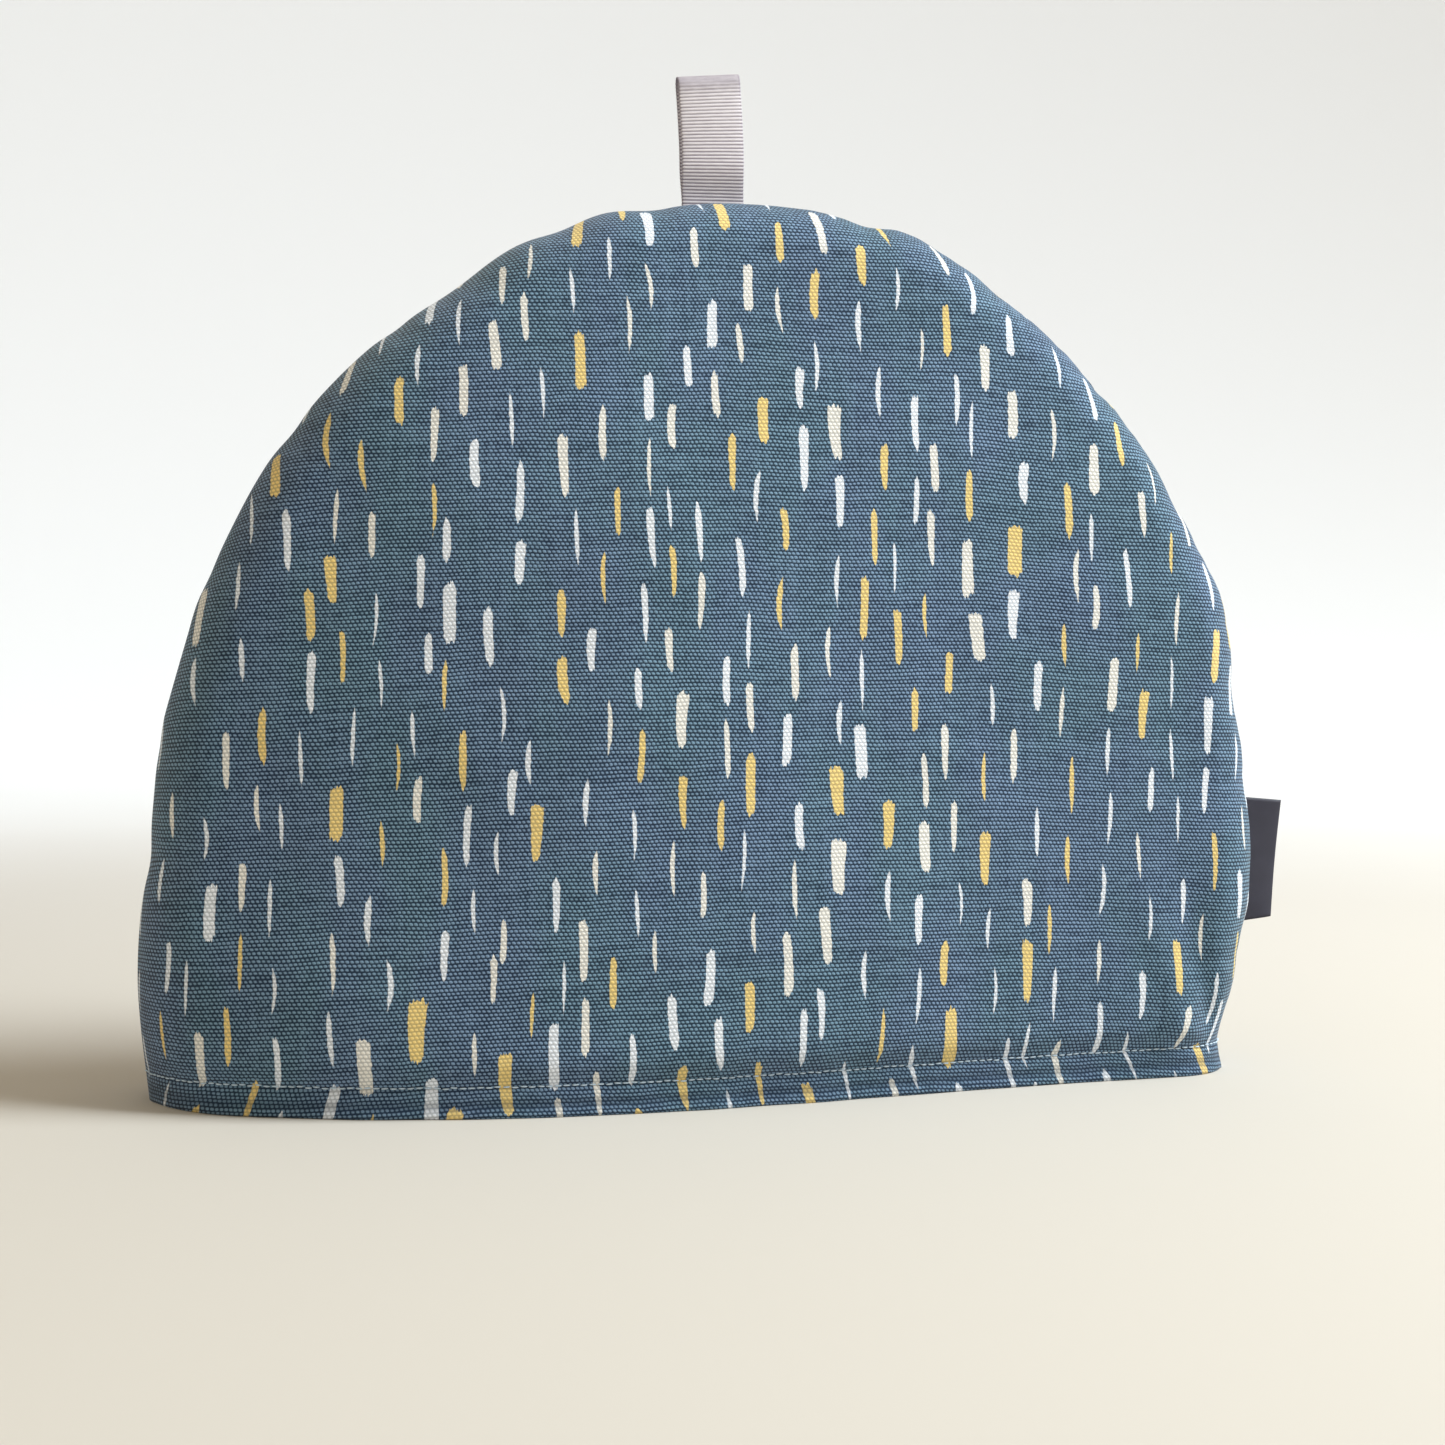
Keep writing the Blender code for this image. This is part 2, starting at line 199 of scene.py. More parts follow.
# The camera's place round the part, and how it is turned and shifted to frame it
CAMERA_AROUND = math.radians(-10.0)
CAMERA_TURNED = math.radians(0.26)
CAMERA_DISTANCE = 0.86
CAMERA_HEIGHT = 0.150
CAMERA_AIM_X = -0.0066
CAMERA_SHIFT = -0.0848


def colour(name, description, *screen):
    """A colour setting. Its red, green and blue are given as a screen shows them, and held as linear."""
    linear = [
        value / 12.92 if value <= 0.04045 else ((value + 0.055) / 1.055) ** 2.4
        for value in screen
    ]
    return FloatVectorProperty(
        name=name, description=description, default=linear, subtype="COLOR", size=3, min=0.0, max=1.0
    )


def length(name, description, default):
    """A length setting, in metres."""
    return FloatProperty(
        name=name, description=description, default=default, min=0.0, unit="LENGTH", precision=5
    )


def watts(name, description, default):
    """A light's power setting, in watts."""
    return FloatProperty(name=name, description=description, default=default, min=0.0, unit="POWER")


class ClothSettings(bpy.types.PropertyGroup):
    """The printed cloth."""

    fleck_pitch: length("Fleck pitch", "Distance between raised flecks in a row of the weave", 0.00134)
    weft_pitch: length("Weft pitch", "Height of one row of the weave", 0.00113)
    column: length("Dash column", "Width that each column of dashes takes up", 0.01240)
    row: length("Dash row", "Height that each dash takes up in its column", 0.02160)
    blue_thread: colour("Blue thread", "Raised threads in the bluer patches", 0.455, 0.560, 0.685)
    teal_thread: colour("Teal thread", "Raised threads in the greener patches", 0.440, 0.570, 0.665)
    blue_gap: colour("Blue gap", "Gaps between threads in the bluer patches", 0.015, 0.130, 0.235)
    teal_gap: colour("Teal gap", "Gaps between threads in the greener patches", 0.015, 0.145, 0.225)
    pale_dash: colour("Pale dash", "Pale blue-white dashes", 0.930, 0.952, 0.990)
    stone_dash: colour("Stone dash", "Stone-coloured dashes", 0.935, 0.925, 0.900)
    mustard_dash: colour("Mustard dash", "Mustard dashes", 0.940, 0.825, 0.515)
    reverse: colour("Reverse", "The unprinted reverse, seen inside", 0.62, 0.67, 0.71)
    bump: length("Thread relief", "Height of the threads over the gaps", 0.00010)


class PanelSettings(bpy.types.PropertyGroup):
    """The padded panels."""

    columns: IntProperty(name="Columns", description="Faces across a panel", default=220, min=40, max=240)
    rows: IntProperty(name="Rows", description="Faces above the hem", default=158, min=40, max=170)
    pucker: length("Seam pucker", "Height of the small folds beside the seam", 0.0011)
    pucker_reach: length("Pucker reach", "How far the small folds run from the seam", 0.0100)
    lump: length("Padding lumps", "Height of the soft unevenness of the padding", 0.0012)
    valley: length("Seam valley", "How deep the seam lies between the panels", 0.0011)


class StitchSettings(bpy.types.PropertyGroup):
    """The stitches along the hem."""

    pitch: length("Pitch", "Distance from one stitch to the next", 0.00250)
    seen: length("Seen length", "Length of thread that shows in each stitch", 0.00205)
    radius: length("Radius", "Half the thread's thickness", 0.00025)
    thread: colour("Thread", "Colour of the sewing thread", 0.80, 0.88, 0.96)


class RibbonSettings(bpy.types.PropertyGroup):
    """The ribbon loop."""

    width: length("Width", "Width of the ribbon", 0.0195)
    thick: length("Thickness", "Thickness of the ribbon", 0.00055)
    rib_pitch: length("Rib pitch", "Distance from one rib to the next", 0.00108)
    rib: length("Rib height", "How far each rib stands out", 0.00011)
    # The ribs' and the grooves' colours are a lit and a shaded copy of the ribbon's one grey-mauve: the
    # lighter ribs are painted light and the darker grooves painted shade
    light: colour("Ribs", "Colour of the raised ribs", 0.885, 0.865, 0.890)
    groove_shade: colour("Grooves", "Colour between the ribs", 0.545, 0.510, 0.560)


class TabSettings(bpy.types.PropertyGroup):
    """The side tab."""

    thick: length("Thickness", "Thickness of the tab's cloth", 0.00034)
    ground: colour("Ground", "Colour of the satin", 0.120, 0.118, 0.185)
    sheen: colour("Light threads", "Colour of the satin's lighter threads", 0.190, 0.187, 0.255)


class StageSettings(bpy.types.PropertyGroup):
    """The floor, the lights and the camera."""

    floor: colour("Floor", "Colour of the floor", 0.800, 0.780, 0.750)
    wall: colour("Wall", "Colour of the wall that the floor curves up into", 0.955, 0.955, 0.950)
    lens: FloatProperty(name="Lens", description="Focal length", default=68.5, unit="CAMERA", min=10.0)
    key: watts("Key light", "Power of the light on the cosy", 46.0)
    back: watts("Back light", "Power of the light on the wall", 45.0)
    around: FloatProperty(name="Surroundings", description="Strength of the light all round", default=0.50)


def start_clean():
    """Leaves edit mode and selects nothing, because an operator acts on all that is selected."""
    if bpy.context.object and bpy.context.object.mode != "OBJECT":
        bpy.ops.object.mode_set(mode="OBJECT")
    bpy.ops.object.select_all(action="DESELECT")


def math_node(operation, reflected=False):
    """A method for an operator: one Math node, with its two values swapped if it is reflected."""

    def method(self, other):
        return self.math(operation, *((other, self) if reflected else (self, other)))

    return method


class Wire:
    """A socket of a node tree. Arithmetic on it adds Math nodes."""

    __add__, __radd__ = math_node("ADD"), math_node("ADD", True)
    __sub__, __rsub__ = math_node("SUBTRACT"), math_node("SUBTRACT", True)
    __mul__, __rmul__ = math_node("MULTIPLY"), math_node("MULTIPLY", True)
    __truediv__, __rtruediv__ = math_node("DIVIDE"), math_node("DIVIDE", True)
    __pow__, __gt__, __lt__ = math_node("POWER"), math_node("GREATER_THAN"), math_node("LESS_THAN")

    def __init__(self, tree, socket=None):
        self.tree = tree
        self.socket = socket

    def node(self, kind, settings=None, sockets=None, output=0):
        """One output of a new node of this kind, its settings first, then its sockets' values or links."""
        made = self.tree.nodes.new(kind)
        for name, value in (settings or {}).items():
            setattr(made, name, value)
        for name, value in (sockets or {}).items():
            if isinstance(value, Wire):
                self.tree.links.new(value.socket, made.inputs[name])
            else:
                made.inputs[name].default_value = value
        return Wire(self.tree, made.outputs[output])

    def math(self, operation, *values):
        """One Math node on these values."""
        return self.node("ShaderNodeMath", {"operation": operation}, dict(enumerate(values)))

    def __abs__(self):
        return self.math("ABSOLUTE", self)

    def floor(self):
        """The whole number below."""
        return self.math("FLOOR", self)

    def odd(self):
        """1 for an odd whole number and 0 for an even one."""
        return self.math("FLOORED_MODULO", self, 2.0)

    def ridge(self):
        """A smooth ridge for each whole step: 0 at the whole numbers and 1 half way between."""
        return 0.5 - 0.5 * self.math("COSINE", self * (2 * math.pi))

    def smooth(self, low, high):
        """0 below low and 1 above high, with a soft change between."""
        sockets = {"Value": self, "From Min": low, "From Max": high}
        return self.node("ShaderNodeMapRange", {"interpolation_type": "SMOOTHSTEP"}, sockets)

    def blend(self, none, full):
        """A colour between two, by this share. Each is a wire or a colour setting."""
        none, full = (end if isinstance(end, Wire) else (*end, 1.0) for end in (none, full))
        return self.node("ShaderNodeMix", {"data_type": "RGBA"}, {0: self, 6: none, 7: full}, 2)

    def parts(self):
        """The x, y and z of a vector, or the red, green and blue of a colour."""
        split = self.node("ShaderNodeSeparateXYZ", sockets={0: self}).socket.node
        return [Wire(self.tree, output) for output in split.outputs]

    def vector(self, x, y, z=0.0):
        """A vector of three values."""
        return self.node("ShaderNodeCombineXYZ", sockets={0: x, 1: y, 2: z})

    def cloudy(self, x, y, detail=2.0):
        """Soft noise about 0.5, with one cloud for each whole step of x and y."""
        sockets = {"Vector": self.vector(x, y), "Scale": 1.0, "Detail": detail, "Roughness": 0.5}
        return self.node("ShaderNodeTexNoise", {"noise_dimensions": "2D"}, sockets)

    def chance(self, x, y, seed):
        """Three random values for each pair of whole numbers."""
        place = self.vector(x, y, seed)
        made = self.node("ShaderNodeTexWhiteNoise", {"noise_dimensions": "3D"}, {"Vector": place}, 1)
        return made.parts()


def scaled(setting, share):
    """A colour setting made darker or lighter."""
    return tuple(min(1.0, share * part) for part in setting)


def new_finish(name, roughness, sheen=0.0):
    """A new material, and a wire to build its nodes from."""
    made = bpy.data.materials.new(name)
    made.use_nodes = True
    shader = made.node_tree.nodes["Principled BSDF"]
    shader.inputs["Roughness"].default_value = roughness
    shader.inputs["Sheen Weight"].default_value = sheen
    shader.inputs["Sheen Roughness"].default_value = 0.5
    return made, Wire(made.node_tree)


def set_surface(wire, base, roughness=None, height=None):
    """Links a colour, a roughness and a height in metres to the shader."""
    inputs = wire.tree.nodes["Principled BSDF"].inputs
    wire.tree.links.new(base.socket, inputs["Base Color"])
    if roughness is not None:
        wire.tree.links.new(roughness.socket, inputs["Roughness"])
    if height is not None:
        bump = wire.node("ShaderNodeBump", sockets={"Strength": 1.0, "Distance": 1.0, "Height": height})
        wire.tree.links.new(bump.socket, inputs["Normal"])


def uv_place(wire, name):
    """The two directions along a piece's cloth, in metres."""
    return wire.node("ShaderNodeUVMap", {"uv_map": name}).parts()[:2]


def object_place(wire):
    """x, y and z in the part's own frame, in metres."""
    return wire.node("ShaderNodeTexCoord", output=3).parts()


def weave(wire, cloth, u, v):
    """How far each point stands up in the weave, from 0 in a gap to 1 on a thread, with uneven yarn.

    Each row has flecks of raised yarn, which lean a little and lie half a step along from the next row's.
    """
    drift = wire.cloudy(u / 0.021, v / 0.017) - 0.5
    waver = wire.cloudy(u / 0.0032, v / 0.0011, 1.0) - 0.5
    weft = (v + 0.0011 * drift + 0.00022 * waver) / cloth.weft_pitch
    pick = weft.floor()
    warp = (u - 0.0011 * drift) / cloth.fleck_pitch + 0.5 * pick.odd() + 0.24 * (weft - pick)
    own = wire.chance(warp.floor(), pick, 3.0)[0]
    yarn = wire.chance(pick, 0.0, 5.0)[0]
    band = weft.ridge() ** 0.8
    thread = band * (0.08 + 0.92 * warp.ridge() ** 0.7)
    slub = wire.cloudy(u / 0.011, v / 0.0013) - 0.5
    streak = wire.cloudy(u / 0.0011, v / 0.045) - 0.5
    fibre = wire.cloudy(u / 0.00060, v / 0.00045, 1.0) - 0.5
    uneven = 0.26 * slub + 0.20 * streak + 0.24 * fibre
    return thread * (0.64 + 0.46 * own + 0.36 * yarn) + uneven


def dashes(wire, cloth, u, v):
    """Where the brush dashes are, from 0 to 1, and the share of stone and of mustard in their colour.

    Each dash has a place of its own in a column, and no two dashes share one.
    """
    sideways_over, upward_over = DASH_WANDER_OVER
    place, rise, step = u / sideways_over + 7.3, v / upward_over, 0.02
    wander = wire.cloudy(place, rise, 0.0)
    slope = (wire.cloudy(place, rise + step, 0.0) - wander) / (step * upward_over)
    across = (u + DASH_WANDER * (wander - 0.5)) / cloth.column
    column = across.floor()
    start = wire.chance(column, 0.0, 11.0)[0]
    up = v / cloth.row + 0.5 * column.odd() + 0.26 * start
    row = up.floor()
    kind, tone, sideways = wire.chance(column, row, 17.0)
    upward, size, bow = wire.chance(column, row, 23.0)
    blunt, lean, flare = wire.chance(column, row, 29.0)
    wide = kind < WIDE_BELOW
    thin = kind > THIN_ABOVE
    full = 1.0 - thin
    x = (across - column - 0.5) * cloth.column - (sideways - 0.5) * (DASH_SIDEWAYS - 0.0022 * wide)
    half_long = DASH_HALF_LENGTH + DASH_EXTRA_LENGTH * size + 0.0005 * wide
    y = (up - row - 0.5) * cloth.row - (upward - 0.5) * (DASH_UPWARD - 2.0 * half_long)
    t = y / half_long
    bent = (bow - 0.5) * (0.0011 + 0.0006 * thin - 0.0005 * wide) * (t * t - 0.4)
    # The slope of the wandering column is taken off, so that a dash stays upright
    x = x - bent - (DASH_LEAN * (lean - 0.5) + DASH_WANDER * slope) * y
    brush = wire.cloudy(u / 0.0008, v / 0.0070) - 0.5
    cut = (flare - 0.5) * x / 0.0042
    along = abs(t + 0.22 * cut + 0.42 * brush * full)
    power = 2.6 + 7.0 * wide + full * (1.4 + 6.0 * blunt) + (t > 0.0) * (1.0 + 3.0 * full)
    half_wide = (DASH_HALF_WIDTH + 0.00044 * full + 0.00050 * wide) * (0.84 + 0.32 * bow)
    ragged = wire.cloudy(u / 0.0012, v / 0.0018) - 0.5
    edge = half_wide * (1.0 - along**power) * (1.0 + 0.44 * t * (flare - 0.30))
    mask = (edge - abs(x) + 0.00060 * ragged).smooth(-0.00010, 0.00018)
    stone = tone > STONE_ABOVE - 0.20 * wide + 0.13 * thin
    mustard = tone > MUSTARD_ABOVE - 0.16 * wide + 0.07 * thin
    return mask, stone, mustard


def cloth_finish(name, cloth, printed):
    """The printed cloth with painted shade along its hem, or its reverse with the print showing faintly
    through.
    """
    made, wire = new_finish(name, 0.9, 0.12)
    u, v = uv_place(wire, CLOTH_UV)
    thread = weave(wire, cloth, u, v)
    raised = thread.smooth(0.00, 0.78)
    patch = wire.cloudy(u / 0.030 + 3.0, v / 0.055 + 1.0, 3.0).smooth(0.30, 0.70)
    gap = patch.blend(cloth.blue_gap, cloth.teal_gap)
    yarn = patch.blend(cloth.blue_thread, cloth.teal_thread)
    ground = raised.blend(gap, yarn)
    mask, stone, mustard = dashes(wire, cloth, u, v)
    ink = stone.blend(cloth.pale_dash, cloth.stone_dash)
    ink = mustard.blend(ink, cloth.mustard_dash)
    shade = (0.30 * (1.0 - raised)).blend(ink, ground)
    if printed:
        base = (mask * (0.82 + 0.18 * thread.smooth(0.05, 0.45))).blend(ground, shade)
        # Painted shade: the hem is blended towards the blue gap colour, most along its middle crease and a
        # little over the whole band below the stitched line
        z = object_place(wire)[2]
        painted_hem_shade = 0.30 * (1.0 - abs(z - HEM_CREASE).smooth(0.0004, 0.0022)) + 0.10 * (z < HEM_LINE)
        base = painted_hem_shade.blend(base, cloth.blue_gap)
    else:
        dull = raised.blend(scaled(cloth.reverse, 0.55), cloth.reverse)
        base = (mask * 0.16).blend((0.14 * raised).blend(dull, ground), ink)
    rough = 0.94 - 0.10 * raised
    set_surface(wire, base, rough, cloth.bump * thread)
    return made


def thread_finish(name, stitch):
    """Sewing thread with its twist."""
    made, wire = new_finish(name, 0.75, 0.10)
    x, y, z = object_place(wire)
    ply = ((x + y) / 0.00045 + z / 0.00032).ridge()
    worn = wire.cloudy(x / 0.006, y / 0.006)
    base = (0.55 * ply + 0.45 * worn).blend(scaled(stitch.thread, 0.70), scaled(stitch.thread, 1.12))
    set_surface(wire, base, None, 0.00003 * ply)
    return made


def ribbon_finish(name, ribbon):
    """Ribbed ribbon: raised ribs of close threads, with painted shade in the grooves between them and
    painted light on the upper loop.
    """
    made, wire = new_finish(name, 0.62, 0.15)
    u, v = uv_place(wire, RIBBON_UV)
    wobble = wire.cloudy(u / 0.006, v / 0.004) - 0.5
    rib = ((v + 0.00010 * wobble) / ribbon.rib_pitch).ridge()
    yarn = (u / 0.00026 + 0.5 * (v / ribbon.rib_pitch).floor().odd()).ridge()
    uneven = wire.cloudy(u / 0.0035, v / 0.0011) - 0.5
    edge = abs(u).smooth(0.46 * ribbon.width, 0.50 * ribbon.width)
    # Painted light: the colour is lighter, with fainter rib lines, near the fold at the top of the loop,
    # and darker, with stronger rib lines, lower down the leaves
    straight = abs(v - RIBBON_FOLD_AT).smooth(0.0030, 0.0090)
    low = abs(v - RIBBON_FOLD_AT).smooth(0.0100, 0.0420)
    lines = rib.smooth(0.10, 0.62) * (0.60 + 0.24 * low) + 0.34 - 0.36 * low
    lines = 0.40 * (1.0 - straight) + straight * lines
    level = lines + 0.30 * uneven - 0.12 * (1.0 - yarn) - 0.25 * edge
    base = level.smooth(0.0, 1.0).blend(ribbon.groove_shade, ribbon.light)
    rough = 0.70 - 0.14 * rib
    set_surface(wire, base, rough, 0.00003 * yarn * rib)
    return made


def tab_finish(name, tab):
    """Plain charcoal satin, with close threads along its height."""
    made, wire = new_finish(name, 0.55, 0.10)
    u, v = uv_place(wire, TAB_UV)
    thread = (u / 0.00030).ridge()
    pick = (v / 0.00021 + 0.37 * (u / 0.00030).floor()).ridge()
    worn = wire.cloudy(u / 0.008, v / 0.008)
    level = 0.30 * thread + 0.25 * pick + 0.45 * worn
    base = level.smooth(0.15, 0.95).blend(tab.ground, tab.sheen)
    set_surface(wire, base, 0.62 - 0.12 * thread, 0.00002 * thread + 0.00001 * pick)
    return made


def lengths_along(points):
    """Distance of each point from the first, along the line."""
    steps = np.linalg.norm(np.diff(points, axis=0), axis=1)
    return np.concatenate([[0.0], np.cumsum(steps)])


def at_lengths(points, places):
    """Points of the line at these distances along it."""
    along = lengths_along(points)
    return np.stack([np.interp(places, along, points[:, axis]) for axis in range(points.shape[1])], axis=1)


def smooth_line(points, count):
    """A cubic curve through the points, evenly spaced."""
    points = np.array(points)
    along = lengths_along(points)
    slopes = np.gradient(points, along, axis=0)
    places = np.linspace(0.0, along[-1], 4 * count)
    start = np.clip(np.searchsorted(along, places, side="right") - 1, 0, len(along) - 2)
    span = (along[start + 1] - along[start])[:, None]
    t = (places - along[start])[:, None] / span
    curve = (
        (1 + 2 * t) * (1 - t) ** 2 * points[start]
        + t * (1 - t) ** 2 * span * slopes[start]
        + t**2 * (3 - 2 * t) * points[start + 1]
        + t**2 * (t - 1) * span * slopes[start + 1]
    )
    return at_lengths(curve, np.linspace(0.0, lengths_along(curve)[-1], count))


def inward_of(line):
    """The direction to the right of a line at each point, which is into the dome from its outline."""
    tangent = np.gradient(line, axis=0)
    tangent /= np.linalg.norm(tangent, axis=1)[:, None]
    return np.stack([tangent[:, 1], -tangent[:, 0]], axis=1)


def within(value):
    """The value, held between 0 and 1."""
    return np.clip(value, 0.0, 1.0)


def dent(away, depth, half_width):
    """How deep a smooth dent is at a distance from its middle."""
    return depth * np.exp(-((away / half_width) ** 2))


def both_faces(line, row, layer, half):
    """Places on the two faces of a band, half its thickness from its middle line."""
    side = np.where(layer == 0, half, -half)
    return line[row] - side[:, None] * inward_of(line)[row]


def drawn_in(line, dents):
    """The line with dents, each a share of its length, a depth and a half width."""
    share = np.linspace(0.0, 1.0, len(line))
    depth = sum(
        dent((share - place) * lengths_along(line)[-1], deep, half_width)
        for place, deep, half_width in dents
    )
    return line + inward_of(line) * depth[:, None]


def source_outline():
    """The outline, and how far the source moves it along x to centre the whole part."""
    plain = smooth_line(OUTLINE_X_Z, OUTLINE_SAMPLES)
    puckered = drawn_in(plain, PUCKERS)
    low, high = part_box("front_panel")
    return plain, (low[0] + high[0] - puckered[:, 0].min() - puckered[:, 0].max()) / 2


def soft_noise(seed, *places):
    """Smooth noise from about -1 to 1 at each place, whose coordinates are arrays."""
    stacked = np.broadcast_arrays(*places)
    flat = [values.ravel() for values in stacked]
    while len(flat) < 3:
        flat.append(np.full_like(flat[0], seed))
    values = [noise.noise(Vector(place)) for place in zip(*flat)]
    return np.array(values).reshape(stacked[0].shape)


def eased(value, start, end):
    """0 at start and 1 at end, with a soft change between."""
    t = within((value - start) / (end - start))
    return t * t * (3 - 2 * t)


def crowded(count):
    """Shares from 0 to 1, closer together at both ends."""
    return 0.5 - 0.5 * np.cos(np.pi * np.linspace(0.0, 1.0, count + 1))


class Dome:
    """Both panels' grid in the seam plane, with how each point lies to the seam."""

    def __init__(self, columns, rows):
        self.plain, self.shift = source_outline()
        self.plain = drawn_in(self.plain, STRAYS)
        self.line = drawn_in(self.plain, PUCKERS)
        self.crown = int(self.plain[:, 1].argmax())
        self.columns = columns
        self.rows = rows + len(HEM_ROWS_Z) - 1
        plane = self.plane_grid(rows)
        self.x, self.z = plane[..., 0], plane[..., 1]
        self.measure()

    def run(self, first, last, shares):
        """Points of the seam between two indexes, at the given shares of that run."""
        places = first + (last - first) * shares
        index = np.arange(len(self.line))
        return np.stack([np.interp(places, index, self.line[:, axis]) for axis in range(2)], axis=1)

    def plane_grid(self, body_rows):
        """Straight rows in the hem, then rows that bend up into the dome."""
        heights = self.line[:, 1]
        above = [np.flatnonzero(heights >= z) for z in (HEM_ROWS_Z[-1], LEFT_SHOULDER_Z, RIGHT_SHOULDER_Z)]
        first, last = above[0][0], above[0][-1]
        left_shoulder, right_shoulder = above[1][0], above[2][-1]
        across = crowded(self.columns)
        up = np.sin(0.5 * np.pi * np.linspace(0.0, 1.0, body_rows + 1))
        left = self.run(first, left_shoulder, up)
        right = self.run(last, right_shoulder, up)
        top = self.run(left_shoulder, right_shoulder, across)
        bottom = left[0] + (right[0] - left[0]) * across[:, None]
        a, b = across[:, None, None], up[None, :, None]
        body = (1 - b) * bottom[:, None] + b * top[:, None] + (1 - a) * left[None] + a * right[None]
        body = body - (1 - a) * (1 - b) * left[0] - a * (1 - b) * right[0]
        body = body - (1 - a) * b * left[-1] - a * b * right[-1]
        rows = []
        for z in HEM_ROWS_Z[:-1]:
            share = np.array([z / HEM_ROWS_Z[-1]])
            ends = self.run(0, first, share), self.run(len(self.line) - 1, last, share)
            row = ends[0] + (ends[1] - ends[0]) * across[:, None]
            row[:, 1] = z
            rows.append(row)
        return np.concatenate([np.stack(rows, axis=1), body], axis=1)

    def measure(self):
        """Each point's distance to the seam, with the length along it and the direction inwards there."""
        start, step = self.line[:-1], np.diff(self.line, axis=0)
        size = (step**2).sum(1)
        along = lengths_along(self.line)
        inward = inward_of(self.line)
        edge, near, normal = [], [], []
        for column in range(self.columns + 1):
            points = np.stack([self.x[column], self.z[column]], axis=-1)[:, None, :]
            share = within(((points - start) * step).sum(-1) / size)
            away = np.linalg.norm(points - start - share[..., None] * step, axis=-1)
            best = away.argmin(1)
            picked = share[np.arange(len(best)), best]
            edge.append(away.min(1))
            near.append(along[best] + picked * np.sqrt(size[best]))
            normal.append(inward[best])
        self.edge, self.along, self.inward = np.array(edge), np.array(near), np.array(normal)
        self.edge[[0, -1]] = 0.0
        self.edge[:, -1] = 0.0

    def sides(self):
        """x of the left and the right edge at each point's height."""
        left, right = self.plain[: self.crown + 1], self.plain[self.crown :][::-1]
        return np.interp(self.z, left[:, 1], left[:, 0]), np.interp(self.z, right[:, 1], right[:, 0])

    def roll_radius(self):
        """Radius of the rolled edge, larger near the hem."""
        return EDGE_ROLL + HEM_ROLL * np.exp(-self.z / HEM_ROLL_FADE)

    def above_hem(self):
        """0 up to the stitched line, and near 1 well above it."""
        return 1 - np.exp(-np.clip(self.z - HEM_LINE, 0.0, None) / OVERHANG_REACH)

    def depth(self, form):
        """How far the padded face stands from the seam plane, as in the source."""
        left, right = self.sides()
        half = (right - left) / 2
        across = (self.x - left) * (right - self.x) / np.maximum(half, LEAST_HALF_WIDTH) ** 2
        fall = within(1 - (self.z / self.plain[self.crown, 1]) ** BULGE_POWER)
        radius = self.roll_radius()
        roll = np.sqrt(1 - (1 - within(self.edge / radius)) ** 2)
        skew = form["skew"] * (SKEW_LEFT_UP + (1 - SKEW_LEFT_UP) * np.exp(-self.z / SKEW_FADE))
        bulge = (form["bulge"] - skew * self.x) * within(across) * fall
        rise = self.above_hem()
        half_width = np.where(self.z < HEM_LINE, HEM_DRAW_BELOW, HEM_DRAW_HALF_WIDTH)
        drawn = dent(self.z - HEM_LINE, HEM_DRAW, half_width)
        waves = [np.sin(a * self.x + b * self.z + turn * form["phase"]) for a, b, turn in WAVES]
        uneven = form["wave"] * sum(waves) * rise
        depth = radius * roll + bulge + roll * (OVERHANG * rise - drawn + uneven)
        return depth * HALF_DEPTH / depth.max()

    def wall(self):
        """Thickness of the padded wall: thin at the hem, and wider where the seam is turned in."""
        wall = HEM_WALL + (WALL - HEM_WALL) * self.above_hem()
        return wall + (SEAM_WALL - wall) * within(1 - self.edge / SEAM_WALL_REACH)

    def parted(self):
        """Half the gap between the panels, opened where the ribbon and the tab go in."""
        ribbon = 1 - eased(abs(self.x - RIBBON_X), *RIBBON_SLOT_X)
        ribbon = ribbon * eased(self.z, *RIBBON_SLOT_Z)
        tab = 1 - eased(abs(self.z - TAB_MIDDLE_Z), *TAB_SLOT_Z)
        tab = tab * eased(self.x, *TAB_SLOT_X)
        return SEAM_HALF_GAP + RIBBON_PARTS * ribbon + TAB_PARTS * tab

    def fold_height(self, folds):
        """Folds that start at the hem and fade out in the cloth."""
        total = np.zeros_like(self.x)
        for x, z, direction, reach, half_width, height in folds:
            turn = math.radians(direction)
            along = (self.x - x) * math.cos(turn) + (self.z - z) * math.sin(turn)
            across = (self.x - x) * math.sin(turn) - (self.z - z) * math.cos(turn)
            t = within(along / reach)
            start = eased(along, 0.0, 0.010)
            total += start * (1 - t) ** 1.5 * dent(across, height, half_width * (0.6 + 1.1 * t))
        return total

    def cloth_place(self, form):
        """Each point's place on the flat cloth, in metres, which wraps round the rolled edge."""
        radius = self.roll_radius()
        c = 1 - within(self.edge / radius)
        extra = radius * (np.arcsin(c) - c)
        flat = np.stack([self.x, self.z], axis=-1) - self.inward * extra[..., None]
        left, right = self.sides()
        kink = np.exp(-((abs(self.z - HEM_LINE) / 0.0062) ** 1.25))
        pulled = 0.0048 * np.exp(-(right - self.x) / 0.040) - 0.0030 * np.exp(-(self.x - left) / 0.030)
        twisted = 0.42 * eased(self.x, -0.130, -0.030) - 0.20
        u = flat[..., 0] + kink * pulled - twisted * np.clip(HEM_LINE - self.z, 0.0, None)
        near = np.exp(-self.edge / 0.030)
        u = u + 0.0014 * soft_noise(2.0 + form["phase"], self.x / 0.030, self.z / 0.022) * (0.35 + near)
        v = flat[..., 1] + 0.0040 * (flat[..., 0] / 0.14) ** 2
        v = v + 0.0010 * soft_noise(5.0, u / 0.050, self.z / 0.050)
        return u, v

